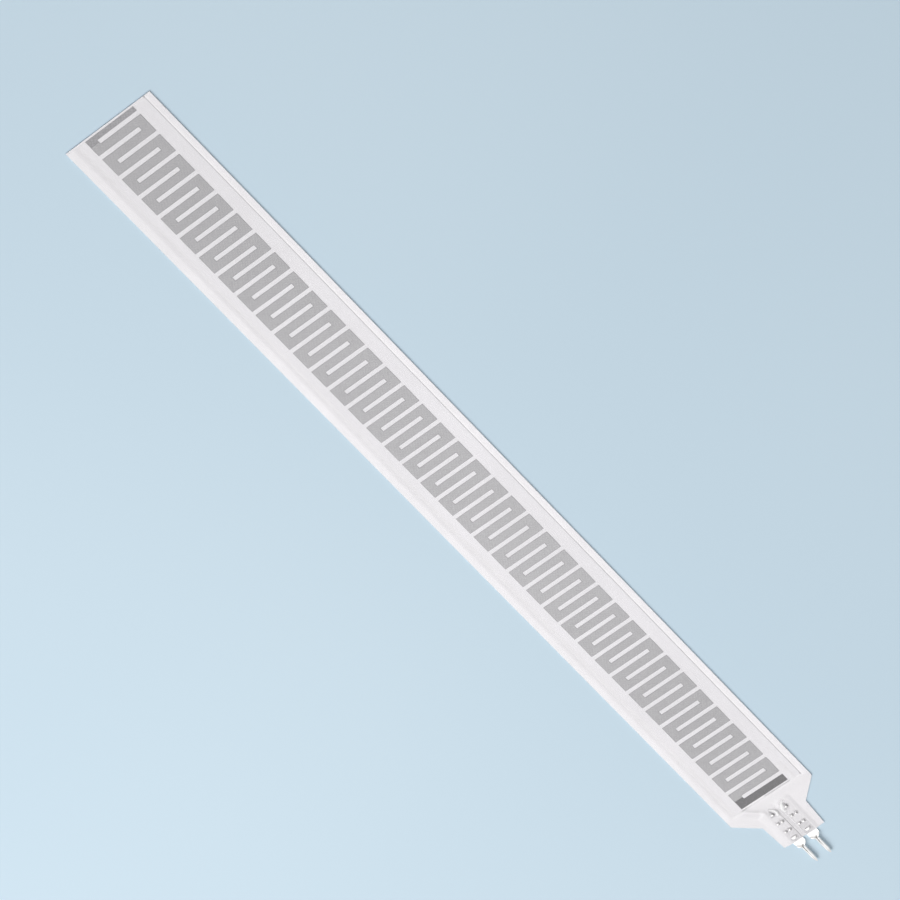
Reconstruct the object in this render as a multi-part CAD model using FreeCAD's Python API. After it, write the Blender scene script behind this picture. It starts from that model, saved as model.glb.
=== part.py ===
import FreeCAD, Part
import math
import os

Vector = FreeCAD.Vector

# A force sensing resistor: a printed film strip with two pierced and curled terminals at its tail.
# Millimetres. +X runs from the free end to the pin tips, +Z is up, and z = 0 is the underside.

# Film outline
body_length = 148.8         # free end to the shoulders, at full width
body_width = 15.0
shoulder_length = 3.2       # the two sloping cuts
tail_length = 5.0           # the narrow stretch that the terminals grip
tail_root_width = 8.0
tail_end_width = 7.4

# Stack of layers, from the underside up
film_thickness = 0.10       # each of the two outer films
print_thickness = 0.02      # resistive ink and silver
spacer_thickness = 0.08     # adhesive frame that holds the films apart

# Serpentine track
pattern_width = 8.6
track_width = 1.44
track_gap = 0.56
link_width = 1.5            # at the closed ends of the slots
free_end_margin = 0.3       # free end to the first finger
bar_to_shoulder = 1.6       # last finger to the shoulders
least_first_finger = 0.5    # the first finger takes what the slots leave over

# Adhesive frame
rim_width = 1.15            # along both sides
rim_to_print = 0.05         # at the free end
window_past_bar = 0.25
window_corner = 0.4

# Silver leads
lead_gap = 0.4              # between the two leads where they leave the last finger
lead_width = 0.9            # the stretch that goes round the last finger
lead_to_bar = 0.2
pad_inset = 0.1             # a pad's edge inside its terminal's strip

# Terminals, each cut and bent from one strip of metal
terminal_pitch = 2.54
strip_width = 1.76
strip_thickness = 0.20
strip_corner = 0.35         # clipped front corners
front_land = 0.92           # front of the strip to the middle of the first tooth

# Teeth, which pierce the film and curl down on it: a single one, two pairs and a broad one
tooth_pitch = 1.92
last_tooth_inset = 0.66     # middle of the last tooth to the film's end
tooth_thickness = 0.12      # coined thinner than the strip
single_width = 0.50
single_run = 0.26           # level stretch of the curl
pair_width = 0.44
pair_run = 0.20
pair_offset = 0.38          # each tooth of a pair, from the terminal's centre line
broad_width = 0.96
broad_run = 0.42
tooth_end_width = 0.18      # all teeth narrow to this
root_radius = 0.10          # bend at the strip, on the centre line of the metal
curl_radius = 0.17          # bends over the film, on the centre line of the metal
tooth_seat = 0.02           # gap between a tooth's end and the film
slit_clearance = 0.02       # all round a tooth where it pierces a layer

# Pin, rolled from the strip's end
neck_length = 0.6           # flat, past the film's end
roll_length = 0.9           # here the edges curl up until they meet
pin_reach = 5.0             # film's end to the tip
pin_radius = 0.35
seam_half_angle = 8.0       # degrees, of the seam along the top
tip_length = 1.2
tip_radius = 0.10

# Draping of the films over the terminals' strips
drape_slope = 0.6           # each side of the raised stretch, in plan
sag_share = 0.5             # of the strips' thickness, that the film drops between them
sag_slope_share = 0.75      # of the gap between the strips, that slopes

# Places along the strip
film_length = body_length + shoulder_length + tail_length
total_length = film_length + pin_reach
free_end_x = -total_length / 2
shoulder_x = free_end_x + body_length
tail_root_x = shoulder_x + shoulder_length
film_end_x = tail_root_x + tail_length
bar_end_x = shoulder_x - bar_to_shoulder
window_end_x = bar_end_x + window_past_bar
tooth_rows = 4
first_tooth_x = film_end_x - last_tooth_inset - (tooth_rows - 1) * tooth_pitch
strip_front_x = first_tooth_x - front_land

# Heights
lower_print_top = film_thickness + print_thickness
cover_z = film_thickness + spacer_thickness
upper_print_low = cover_z - print_thickness
stack_height = cover_z + film_thickness
film_top_z = strip_thickness + stack_height

# Pattern, whose slots are counted back from the last finger
slot_step = track_width + track_gap
pattern_start_x = free_end_x + free_end_margin
slot_count = int((bar_end_x - pattern_start_x - least_first_finger) // slot_step)
last_slot_x = bar_end_x - track_width - track_gap
first_slot_x = last_slot_x - (slot_count - 1) * slot_step

# Edges of a terminal's strip, from the part's centre line
strip_inner = (terminal_pitch - strip_width) / 2
strip_outer = (terminal_pitch + strip_width) / 2

# Overrun of a cutting shape past what it cuts
spare = 1.0
quarter = math.pi / 2


def plate(points, low, high):
    corners = [Vector(x, y, low) for x, y in points]
    outline = Part.makePolygon(corners + corners[:1])
    return Part.Face(outline).extrude(Vector(0, 0, high - low))


def block(x_low, x_high, y_low, y_high, low, high):
    return plate([(x_low, y_low), (x_high, y_low), (x_high, y_high), (x_low, y_high)], low, high)


def mirrored(points):
    return points + [(x, -y) for x, y in reversed(points)]


# Across the strip: two arcs between two heights, level at both ends, or two straight halves
def bend_edges(x, start, end):
    begin = Vector(x, *start)
    finish = Vector(x, *end)
    middle = (begin + finish) * 0.5
    run = abs(end[0] - start[0])
    rise = abs(end[1] - start[1])
    if rise == 0:
        return [Part.makeLine(begin, middle), Part.makeLine(middle, finish)]
    radius = (run ** 2 + rise ** 2) / (4 * rise)
    half_sweep = math.atan(rise / run)
    side = math.copysign(radius * math.sin(half_sweep), end[0] - start[0])
    lift = math.copysign(radius * (1 - math.cos(half_sweep)), end[1] - start[1])
    first = Part.Arc(begin, begin + Vector(0, side, lift), middle)
    second = Part.Arc(middle, finish - Vector(0, side, lift), finish)
    return [first.toShape(), second.toShape()]


# Section of the ground that the films lie on, at one place along the strip. Level stretches and
# bends take turns across it. Spread widens its ridges at the funnel's wide end.
def ground_section(x, ridge, spread):
    dip = ridge * (1 - sag_share)
    edge = body_width / 2 + spare
    channel = strip_inner * (1 - sag_slope_share)
    half = [(channel * spread, dip), (strip_inner * spread, ridge), (strip_outer * spread, ridge),
            (strip_outer * spread + drape_slope, 0.0), (edge, 0.0)]
    stations = [(-y, z) for y, z in reversed(half)] + half
    edges = []
    for index, (start, end) in enumerate(zip(stations, stations[1:])):
        if index % 2 == 0:
            edges.append(Part.makeLine(Vector(x, *start), Vector(x, *end)))
        else:
            edges.extend(bend_edges(x, start, end))
    under = [Vector(x, edge, 0), Vector(x, edge, -spare), Vector(x, -edge, -spare), Vector(x, -edge, 0)]
    edges.extend(Part.makePolygon(under).Edges)
    return Part.Wire(edges)


# The solid under the films: level, then a funnel up to the terminals' strips, then their two ridges
def make_ground():
    edge = body_width / 2 + spare
    level = block(free_end_x - spare, bar_end_x, -edge, edge, -spare, 0)
    foot = ground_section(bar_end_x, 0.0, pattern_width / 2 / strip_outer)
    crest = ground_section(strip_front_x, strip_thickness, 1.0)
    funnel = Part.makeLoft([foot, crest], True, True)
    ridges = Part.Face(crest).extrude(Vector(film_end_x + spare - strip_front_x, 0, 0))
    return level.fuse([funnel, ridges])


ground = make_ground()


# A layer of the stack: a plan shape between two heights above the draped ground
def formed(plan, low, high):
    filled = ground.translated(Vector(0, 0, high))
    emptied = ground.translated(Vector(0, 0, low))
    return plan.common(filled).cut(emptied)


def film_plan():
    edge = [(free_end_x, body_width / 2), (shoulder_x, body_width / 2),
            (tail_root_x, tail_root_width / 2), (film_end_x, tail_end_width / 2)]
    return plate(mirrored(edge), -spare, spare)


# The serpentine between two places along the strip. Its slots open to the two sides in turn, the
# last one towards +Y.
def make_track(x_low, x_high, low, high):
    half = pattern_width / 2
    track = block(x_low, x_high, -half, half, low, high)
    slots = []
    for index in range(slot_count):
        start = last_slot_x - index * slot_step
        side = 1 if index % 2 == 0 else -1
        slots.append(block(start, start + track_gap, side * (link_width - half), side * (half + spare), low, high))
    return track.cut(slots)


# Teeth of one terminal, from its front. Heading is the way a tooth curls along X. Where it rolls
# on, the metal keeps turning the way it was bent up.
def teeth_of_terminal():
    single = dict(y=0.0, width=single_width, run=single_run, heading=-1, rolls_on=True)
    pair = [dict(y=y, width=pair_width, run=pair_run, heading=-1, rolls_on=True)
            for y in (-pair_offset, pair_offset)]
    broad = dict(y=0.0, width=broad_width, run=broad_run, heading=1, rolls_on=False)
    teeth = []
    for index, row in enumerate([[single], pair, pair, [broad]]):
        middle = first_tooth_x + index * tooth_pitch
        for tooth in row:
            leg = middle - tooth["heading"] * (curl_radius + tooth["run"] / 2)
            teeth.append(dict(tooth, leg=leg))
    return teeth


def ahead(heading):
    return Vector(math.cos(heading), 0, math.sin(heading))


def aside(heading):
    return Vector(-math.sin(heading), 0, math.cos(heading))


# A bent band of metal in the XZ plane: its centre line is a list of sizes and turns, where a size
# is a straight run's length or a bend's radius
def band_face(place, heading, steps, thickness):
    upper = []
    lower = []
    for size, turn in steps:
        lever = math.copysign(size, turn)
        centre = place + aside(heading) * lever
        for offset, edges in ((thickness / 2, upper), (-thickness / 2, lower)):
            if turn == 0:
                begin = place + aside(heading) * offset
                edges.append(Part.makeLine(begin, begin + ahead(heading) * size))
            else:
                points = [centre + aside(heading + turn * share) * (offset - lever) for share in (0, 0.5, 1)]
                edges.append(Part.Arc(*points).toShape())
        if turn == 0:
            place = place + ahead(heading) * size
        else:
            heading += turn
            place = centre - aside(heading) * lever
    caps = [Part.makeLine(upper[0].firstVertex(True).Point, lower[0].firstVertex(True).Point),
            Part.makeLine(upper[-1].lastVertex(True).Point, lower[-1].lastVertex(True).Point)]
    return Part.Face(Part.Wire(Part.__sortEdges__(upper + lower + caps)))


# One tooth with its leg at the origin, curling towards +X, and the lanced hole that it leaves
def make_tooth(width, run, rolls_on):
    root_z = strip_thickness / 2
    root_run = strip_thickness
    root_side = 1 if rolls_on else -1
    root = Vector(root_side * (root_radius + root_run), 0, root_z)
    heading = math.pi if rolls_on else 0.0
    rise = film_top_z + tooth_seat - root_z - root_radius
    steps = [(root_run, 0), (root_radius, -root_side * quarter), (rise, 0),
             (curl_radius, -quarter), (run, 0), (curl_radius, -quarter)]
    band = band_face(root, heading, steps, tooth_thickness)
    band = band.extrude(Vector(0, width, 0)).translated(Vector(0, -width / 2, 0))
    end_x = 2 * curl_radius + run + tooth_thickness / 2
    outline = [(-root_radius - root_run, width / 2), (0, width / 2), (end_x, tooth_end_width / 2)]
    tooth = band.common(plate(mirrored(outline), -spare, spare))
    stretch = tooth_thickness / strip_thickness
    leg_blank = (quarter * root_radius + rise) * stretch
    curl_blank = (2 * quarter * curl_radius + run) * stretch
    side = width / 2 + slit_clearance
    hole = [(root_side * root_radius, side), (-root_side * leg_blank, side),
            (-root_side * (leg_blank + curl_blank), tooth_end_width / 2)]
    return tooth, plate(mirrored(hole), -spare, spare)


# Turns a shape made at the origin to a tooth's heading and puts it in its place
def at_tooth(shape, tooth, centre_y):
    turned = shape.rotated(Vector(0, 0, 0), Vector(0, 0, 1), 0 if tooth["heading"] > 0 else 180)
    return turned.translated(Vector(tooth["leg"], centre_y + tooth["y"], 0))


# Section across a terminal where it is flat
def flat_section(x):
    half = strip_width / 2
    corners = [Vector(x, -half, 0), Vector(x, half, 0), Vector(x, half, strip_thickness),
               Vector(x, -half, strip_thickness)]
    return Part.makePolygon(corners + corners[:1])


# Section across the same metal where it is rolled: an open ring that lies on z = 0
def ring_section(x, width, bend_radius):
    reach = width / 2 / bend_radius
    outer_radius = bend_radius + strip_thickness / 2
    centre = Vector(x, 0, outer_radius)

    def on_ring(radius, angle):
        return centre + Vector(0, math.sin(angle), -math.cos(angle)) * radius

    outer = [on_ring(outer_radius, angle) for angle in (-reach, 0, reach)]
    inner = [on_ring(outer_radius - strip_thickness, angle) for angle in (reach, 0, -reach)]
    edges = [Part.Arc(*outer).toShape(), Part.makeLine(outer[-1], inner[0]),
             Part.Arc(*inner).toShape(), Part.makeLine(inner[-1], outer[0])]
    return Part.Wire(edges)


# Neck and pin of a terminal: flat, then rolled up, then straight, then swaged to a point
def make_pin():
    roll_start_x = film_end_x + neck_length
    roll_end_x = roll_start_x + roll_length
    tip_end_x = film_end_x + pin_reach
    tip_start_x = tip_end_x - tip_length
    bend_radius = pin_radius - strip_thickness / 2
    rolled_width = 2 * bend_radius * (math.pi - math.radians(seam_half_angle))
    sections = [flat_section(roll_start_x)]
    for share in (0.2, 0.4, 0.6, 0.8, 1.0):
        width = strip_width + (rolled_width - strip_width) * share
        sections.append(ring_section(roll_start_x + roll_length * share, width, bend_radius / share))
    roll = Part.makeLoft(sections, True, False)
    straight = Part.Face(sections[-1]).extrude(Vector(tip_start_x - roll_end_x, 0, 0))
    return roll.fuse([straight, make_tip(tip_start_x, tip_end_x)])


# The pointed end of a pin, turned about the pin's axis
def make_tip(start_x, end_x):
    on_axis = Vector(start_x, 0, pin_radius)
    rim = Vector(start_x, 0, 2 * pin_radius)
    shoulder = Vector(end_x - tip_radius, 0, pin_radius + tip_radius)
    point = Vector(end_x, 0, pin_radius)
    middle = Vector(end_x - tip_radius, 0, pin_radius) + ahead(quarter / 2) * tip_radius
    edges = [Part.makeLine(on_axis, rim), Part.makeLine(rim, shoulder),
             Part.Arc(shoulder, middle, point).toShape(), Part.makeLine(point, on_axis)]
    return Part.Face(Part.Wire(edges)).revolve(on_axis, Vector(1, 0, 0), 360)


# One terminal, whose centre line is at the given y
def make_terminal(centre_y):
    half = strip_width / 2
    outline = [(strip_front_x, half - strip_corner), (strip_front_x + strip_corner, half),
               (film_end_x + neck_length, half)]
    strip = plate(mirrored(outline), 0, strip_thickness)
    solids = [make_pin()]
    holes = []
    for tooth in teeth_of_terminal():
        shape, hole = make_tooth(tooth["width"], tooth["run"], tooth["rolls_on"])
        solids.append(at_tooth(shape, tooth, 0))
        holes.append(at_tooth(hole, tooth, 0))
    terminal = strip.cut(holes).fuse(solids).removeSplitter()
    return terminal.translated(Vector(0, centre_y, 0))


# Slits where the teeth of both terminals pass through a layer
def make_slits():
    slits = []
    half = tooth_thickness / 2 + slit_clearance
    for centre_y in (-terminal_pitch / 2, terminal_pitch / 2):
        for tooth in teeth_of_terminal():
            side = tooth["width"] / 2 + slit_clearance
            slit = block(-half, half, -side, side, strip_thickness / 2, film_top_z + spare)
            slits.append(at_tooth(slit, tooth, centre_y))
    return slits


# Lead of the lower print: from the last finger to the pad of the terminal at -Y
def lower_lead_plan():
    pad_end_x = film_end_x - pad_inset
    pad_inner = strip_inner + pad_inset
    pad_outer = strip_outer - pad_inset
    points = [(bar_end_x, -pattern_width / 2), (strip_front_x, -pad_outer), (pad_end_x, -pad_outer),
              (pad_end_x, -pad_inner), (strip_front_x, -pad_inner), (bar_end_x, -lead_gap / 2)]
    return plate(points, -spare, spare)


# Lead of the upper print: out of its last finger, round the dark one, and to the terminal at +Y
def upper_lead_plan():
    pad_end_x = film_end_x - pad_inset
    pad_inner = strip_inner + pad_inset
    pad_outer = strip_outer - pad_inset
    near = pattern_width / 2 + lead_to_bar
    far = near + lead_width
    turn_x = bar_end_x + lead_to_bar
    points = [(last_slot_x - track_width, pattern_width / 2), (last_slot_x, pattern_width / 2),
              (last_slot_x, near), (turn_x, near), (turn_x, lead_gap / 2), (strip_front_x, pad_inner),
              (pad_end_x, pad_inner), (pad_end_x, pad_outer), (strip_front_x, pad_outer),
              (turn_x + lead_width, near), (turn_x, far), (last_slot_x - track_width, far)]
    return plate(points, -spare, spare)


# The adhesive frame in plan: the film's outline less the window over the print
def spacer_plan():
    window_side = body_width / 2 - rim_width
    window = block(pattern_start_x - rim_to_print, window_end_x, -window_side, window_side, -spare, spare)
    corners = [edge for edge in window.Edges if abs(edge.tangentAt(edge.FirstParameter).z) > 0.99]
    return film_plan().cut(window.makeFillet(window_corner, corners))


slits = make_slits()
base_film = formed(film_plan(), 0, film_thickness).cut(slits)
cover_film = formed(film_plan(), cover_z, stack_height).cut(slits)
lower_lead = formed(lower_lead_plan(), film_thickness, lower_print_top).cut(slits)
upper_lead = formed(upper_lead_plan(), upper_print_low, cover_z).cut(slits)
spacer = formed(spacer_plan(), film_thickness, cover_z).cut([lower_lead, upper_lead] + slits)

# The upper print leaves the first and the last finger bare, so that they show the lower one
lower_track = make_track(pattern_start_x, bar_end_x, film_thickness, lower_print_top)
upper_track = make_track(first_slot_x + track_gap / 2, last_slot_x + track_gap / 2, upper_print_low, cover_z)

nodes = {
    "base_film": base_film,
    "lower_force_track": lower_track,
    "lower_silver_lead": lower_lead,
    "spacer_frame": spacer,
    "upper_force_track": upper_track,
    "upper_silver_lead": upper_lead,
    "cover_film": cover_film,
    "left_terminal": make_terminal(terminal_pitch / 2),
    "right_terminal": make_terminal(-terminal_pitch / 2),
}

os.makedirs("parts", exist_ok=True)
for name, shape in nodes.items():
    print(name, "solids", len(shape.Solids), "valid", shape.isValid(), "volume", round(shape.Volume, 4))
    shape.exportStep("parts/" + name + ".step")
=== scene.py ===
import math

import bmesh
import bpy
import numpy as np
from mathutils import Matrix, Quaternion, Vector, geometry


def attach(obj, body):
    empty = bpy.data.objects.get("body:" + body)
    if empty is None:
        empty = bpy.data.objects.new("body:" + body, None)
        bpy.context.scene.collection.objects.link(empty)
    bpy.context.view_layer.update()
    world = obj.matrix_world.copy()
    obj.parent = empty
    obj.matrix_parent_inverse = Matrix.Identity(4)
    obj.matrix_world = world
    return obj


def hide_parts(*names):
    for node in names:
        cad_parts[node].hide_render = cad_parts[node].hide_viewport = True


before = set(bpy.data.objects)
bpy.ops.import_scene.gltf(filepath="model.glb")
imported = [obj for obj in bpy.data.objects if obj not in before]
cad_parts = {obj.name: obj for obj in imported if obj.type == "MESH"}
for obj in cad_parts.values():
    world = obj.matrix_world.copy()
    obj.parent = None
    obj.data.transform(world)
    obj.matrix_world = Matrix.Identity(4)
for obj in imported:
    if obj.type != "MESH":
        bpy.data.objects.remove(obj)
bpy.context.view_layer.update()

# A force sensing resistor lying flat: a strip of layered film, printed inside, with two toothed terminals.
# Sizes are in millimetres in the dictionaries and become metres in the meshes.
# +X runs from the free end to the pin tips, +Z is up.
mm = 0.001


def linear(hexText):
    # sRGB hex to the linear colour that a socket takes
    parts = [int(hexText[i:i + 2], 16) / 255 for i in (1, 3, 5)]
    return tuple(c / 12.92 if c <= 0.04045 else ((c + 0.055) / 1.055) ** 2.4 for c in parts) + (1.0,)


def addNode(tree, kind, settings):
    # a lower-case key is a property, any other an input, which takes a number, a socket or another node
    node = tree.nodes.new(kind)
    for key, value in settings.items():
        if key == "stops":
            elements = node.color_ramp.elements
            while len(elements) < len(value):
                elements.new(0.5)
            for element, (position, colour) in zip(elements, value):
                element.position, element.color = position, colour
            continue
        if isinstance(key, str) and key[0].islower():
            setattr(node, key, value)
            continue
        if isinstance(value, bpy.types.Node):
            value = next(socket for socket in value.outputs if not socket.is_unavailable)
        if isinstance(value, bpy.types.NodeSocket):
            tree.links.new(value, node.inputs[key])
        else:
            node.inputs[key].default_value = value
    return node


def addObject(name, data):
    obj = bpy.data.objects.new(name, data)
    bpy.context.scene.collection.objects.link(obj)
    return obj


def addMesh(name, verts, faces):
    mesh = bpy.data.meshes.new(name)
    mesh.from_pydata(verts, [], faces)
    return addObject(name, mesh)


def smooth(t):
    t = np.clip(t, 0.0, 1.0)
    return t * t * (3 - 2 * t)


def bell(distance, width):
    return np.exp(-(distance / width) ** 2)


def shadeSmooth(mesh, sharp):
    # smooth shading, but for edges that bend by more than sharp degrees
    mesh.polygons.foreach_set("use_smooth", [True] * len(mesh.polygons))
    mesh.set_sharp_from_angle(angle=math.radians(sharp))


view = {
    "aimPoint": (-10.68, 2.37, 0.0),  # where the middle of the picture meets the floor
    "distance": 664.354,
    "azimuth": 143.109,               # degrees from +X, of the camera as seen from the part
    "elevation": 57.541,
    "roll": 177.369,                  # the free end comes up to the upper left
    "lens": 188.379,
    "clipStart": 10.0,
}


def makeCamera():
    a, e = math.radians(view["azimuth"]), math.radians(view["elevation"])
    back = Vector((math.cos(e) * math.cos(a), math.cos(e) * math.sin(a), math.sin(e)))
    turn = back.to_track_quat("Z", "Y") @ Quaternion((0, 0, 1), math.radians(view["roll"]))
    place = (Vector(view["aimPoint"]) + back * view["distance"]) * mm
    data = bpy.data.cameras.new("camera")
    data.lens = view["lens"]
    data.clip_start = view["clipStart"] * mm
    camera = addObject("camera", data)
    camera.matrix_world = Matrix.Translation(place) @ turn.to_matrix().to_4x4()
    bpy.context.scene.camera = camera


makeCamera()
bpy.context.scene.view_settings.view_transform = "Standard"
print("camera placed")


# Plan of the strip, shared by all its layers
plan = {
    "freeEnd": -81.0, "shoulder": 67.8, "tailRoot": 71.0, "filmEnd": 76.0,
    "bodyHalf": 7.5, "rootHalf": 4.0, "endHalf": 3.7,
    "patternHalf": 4.3, "firstFinger": -80.7, "barEnd": 66.2,
    "windowStart": -80.75, "windowEnd": 66.45, "windowHalf": 6.35, "windowCorner": 0.4, "cornerSteps": 4,
    "nearFade": (-5.45, -6.45),   # the adhesive thins away between these on the near side
    "fadeDrift": 0.35,            # and this much further out towards the tail
    "driftStart": -60.0, "driftLong": 110.0,   # which comes in from here on, over this length
    "pitch": 2.54,                # between the two terminals
}

# Heights through the layers
stack = {
    "film": 0.10,        # each of the two outer films
    "print": 0.010,      # resistive ink and silver
    "coverLow": 0.18,    # underside of the cover film on the glued rim
    "coverHigh": 0.28,
    "adhesive": 0.1764,  # top of the adhesive there
    "leastAdhesive": 0.004,   # what is left of it inside the near fade
    "hair": 0.0012,      # keeps faces that touch apart, so that none flickers
}

# How the films lie over the metal and round the teeth
drape = {
    "stripHalf": 0.84, "stripFront": 68.66, "stripCorner": 0.35,
    "lift": 0.20,                 # thickness of the metal under the film
    "outerReach": (0.75, 1.70),   # the film comes down over this much beside the far and the near strip
    "frontReach": 0.90,           # over this much ahead of them
    "innerReach": 0.15,           # and over this much in the channel between them
    "frontTurn": 0.70,            # the front slope passes into the side slopes over this much
    "swell": 0.50,                # share of the lift that starts already at the bar
    "swellHalf": 3.9, "swellPast": 0.5,
    "sag": 0.052,         # inside the rim the cover film sinks, its print all but down on the other film
    "sagSlope": 0.45, "freeSlope": 0.15,
    "slopeBegun": 0.2,    # share of a slope that already lies on the rim
    "foldStart": (66.2, -4.3), "foldEnd": (68.7, -1.9), "foldBow": 1.5,
    "foldHeight": 0.14, "foldInner": 0.32, "foldOuter": 1.3,
    "foldRise": (0.8, 1.2), "foldFade": (2.0, 1.6),           # how far past its two ends, and over how much
    "hollowStart": (67.4, -4.4), "hollowEnd": (68.7, -2.9),   # painted shade of a soft hollow outside the fold
    "lip": 0.045, "lipAway": 0.06, "lipWide": 0.13,           # film raised round each slit
    "bite": 0.070, "biteAway": 0.05, "biteLong": 0.20,        # and pressed in under each tooth
    "biteHalf": 0.10, "biteShare": 0.5,   # its half width, and the share of the tooth's own that is added
    "blister": 0.050, "blisterWide": 0.19, "blisterRise": 0.6,   # pushed up ahead of the first tooth
    # where the film is pushed up and painted white as a highlight, ahead of the first tooth of the far and
    # of the near terminal
    "crescents": ([(68.82, 0.08), (69.20, 0.46), (69.80, 0.71), (70.25, 0.62)],
                  [(68.82, 0.12), (69.20, 0.60), (69.75, 0.78), (70.25, 0.64)]),
    "hook": [(69.05, 0.00), (69.90, 0.22), (70.15, 0.10), (70.10, -0.45)],   # painted shadow, round the first tooth
}

# Legs of the teeth of one terminal: kind, x of the leg, offset from its centre line, way it curls
toothRows = [("single", 69.88, 0.0, -1), ("pair", 71.77, -0.38, -1), ("pair", 71.77, 0.38, -1),
             ("pair", 73.69, -0.38, -1), ("pair", 73.69, 0.38, -1), ("broad", 74.96, 0.0, 1)]

# Teeth of each kind, and the grey ring of painted shade in the adhesive round some of them
toothKinds = {
    "single": {"width": 0.46, "run": 0.06},
    "pair": {"width": 0.38, "run": 0.04,
             "ring": {"grey": 0.28, "size": 0.27, "wide": 0.10, "ahead": -0.06, "squash": 1.0}},
    "broad": {"width": 0.84, "run": 0.14,
              "ring": {"grey": 0.50, "size": 0.62, "wide": 0.14, "ahead": 0.15, "squash": 0.9}},
}

teeth = {
    "thick": 0.12, "curl": 0.15, "curlSteps": 7, "endWidth": 0.18, "edge": 0.04, "edgeSteps": 3,
    "top": 0.73, "root": 0.10, "foot": 0.08,
    "endStraight": 0.012,   # a tooth runs straight down for this much past its curl
    "taperFrom": 0.38,    # share of its length where it starts to narrow
    "slitHalf": 0.08, "slitSlack": 0.02,
}

# Greys in the adhesive, from 0 to 1, and how wide they are. A pair is for the far and the near terminal.
tones = {
    "rimShade": 0.85, "rimShadeWide": 0.11,         # painted shade: a grey line along the inner edge of the far rim
    "barShade": 0.80, "barShadeWide": 0.06,   # and a painted shade line along the bar's end
    "shadeLineAway": 0.03, "rimShadePast": 0.25, "barShadePast": 0.30,
    "thin": 0.13,                           # where it has thinned away
    "tail": 0.10, "tailFade": 0.05, "tailFadeFrom": 67.6, "tailFadeLong": 1.4,
    # painted shade of a soft hollow outside the fold
    "hollow": 0.10, "hollowWide": 0.42,
    # painted shade on the inner side of the fold
    "fold": 0.19, "foldWide": 0.45, "foldShort": 0.2,
    "strip": (0.14, 0.10), "stripRear": (0.20, 0.10), "rearFrom": 73.2,
    # painted shadow round the first tooth, darker at its front
    "hook": 0.66, "hookFront": 0.34, "hookFrontEnd": 69.75, "hookWide": 0.16,
    # painted shade in the channel between the terminals, more on the far side
    "channel": 0.22, "channelFar": 0.08, "channelHalf": 0.46, "channelFrom": 0.2,
    "nearSide": 0.05, "nearSideFrom": 67.5,
    "highlightWide": (0.36, 0.20),            # painted white highlights: the crescents on the cover film
    "highlightOffHook": 0.22,                    # and how far they keep off the dark hooks
    # a painted highlight along the near edge of the far terminal
    "edge": 0.35, "edgeWide": 0.08, "edgeFrom": 70.2,
}

# Lengths over which those greys come and go
fades = {
    "rimShadeEnd": 0.2, "barShadeEnd": 0.3, "tail": 0.8, "foldEnd": 0.5, "foldEdge": 0.12, "metal": 0.5,
    "stripEdge": 0.25, "hookFront": 0.4, "ringBack": 0.4, "channelEdge": 0.12, "channelStart": 1.2,
    "channelAcross": 0.3, "nearSide": 1.5, "nearAcross": 0.5,
}


def terminalCentres():
    return (plan["pitch"] / 2, -plan["pitch"] / 2)


def segmentDistance(x, y, start, end):
    dx, dy = end[0] - start[0], end[1] - start[1]
    share = np.clip(((x - start[0]) * dx + (y - start[1]) * dy) / (dx * dx + dy * dy), 0, 1)
    return np.hypot(x - start[0] - share * dx, y - start[1] - share * dy)


def pathDistance(x, y, path):
    return np.minimum.reduce([segmentDistance(x, y, start, end) for start, end in zip(path, path[1:])])


def besideCrescent(x, y, side):
    # each crescent bows towards the other terminal
    centre, inward = terminalCentres()[side], (-1, 1)[side]
    return pathDistance(x, y, [(px, centre + inward * py) for px, py in drape["crescents"][side]])


def besideHook(x, y, centre):
    return pathDistance(x, y, [(px, centre + py) for px, py in drape["hook"]])


def besideFold(x, y):
    # distance from the fold that runs from the bar's near corner to the near terminal, positive outside it
    (x0, y0), (x1, y1) = drape["foldStart"], drape["foldEnd"]
    share = np.clip((x - x0) / (x1 - x0), 0, 1)
    line = y0 + (y1 - y0) * share ** drape["foldBow"]
    (before, rise), (after, fade) = drape["foldRise"], drape["foldFade"]
    shown = smooth((x - x0 + before) / rise) * smooth((x1 + after - x) / fade)
    return (line - y) * (x1 - x0) / math.hypot(x1 - x0, y1 - y0), shown


def ground(x, y):
    # how far the lowest film is off the table, over the metal and in the gentle rise up to it
    front, corner = drape["stripFront"], drape["stripCorner"]
    bare, least = np.ones_like(x), 0.001   # least keeps the share below from dividing by nothing
    for side, centre in enumerate(terminalCentres()):
        dx = np.maximum(front + corner - x, 0)
        dy = np.maximum(np.abs(y - centre) - (drape["stripHalf"] - corner), 0)
        sideways = smooth(dy / (dx + dy + least)) * smooth((x - front) / drape["frontTurn"])
        beside = np.where((centre - y) * centre > 0, drape["innerReach"], drape["outerReach"][side])
        reach = drape["frontReach"] + (beside - drape["frontReach"]) * sideways
        away = np.clip((np.hypot(dx, dy) - corner) / reach, 0, 1)
        bare = bare * (0.5 - 0.5 * np.cos(math.pi * away))
    along = smooth((x - plan["windowEnd"]) / (front + drape["swellPast"] - plan["windowEnd"]))
    across = 0.5 + 0.5 * np.cos(math.pi * np.clip(np.abs(y) / drape["swellHalf"], 0, 1))
    return drape["lift"] * (1 - bare * (1 - drape["swell"] * along * across))


def rimShare(x, y):
    # 1 on the glued rim and 0 inside the window, with a long fade on the near side
    nearIn, nearOut = plan["nearFade"]
    tailwards = np.clip((x - plan["driftStart"]) / plan["driftLong"], 0, 1)
    near = (nearIn - plan["fadeDrift"] * tailwards - y) / (nearIn - nearOut)
    far = (y - plan["windowHalf"]) / drape["sagSlope"] + drape["slopeBegun"]
    free = (plan["windowStart"] - x) / drape["freeSlope"] + drape["slopeBegun"]
    tail = (x - plan["windowEnd"]) / drape["sagSlope"] + drape["slopeBegun"]
    return smooth(np.maximum.reduce([near, far, free, tail]))


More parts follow.
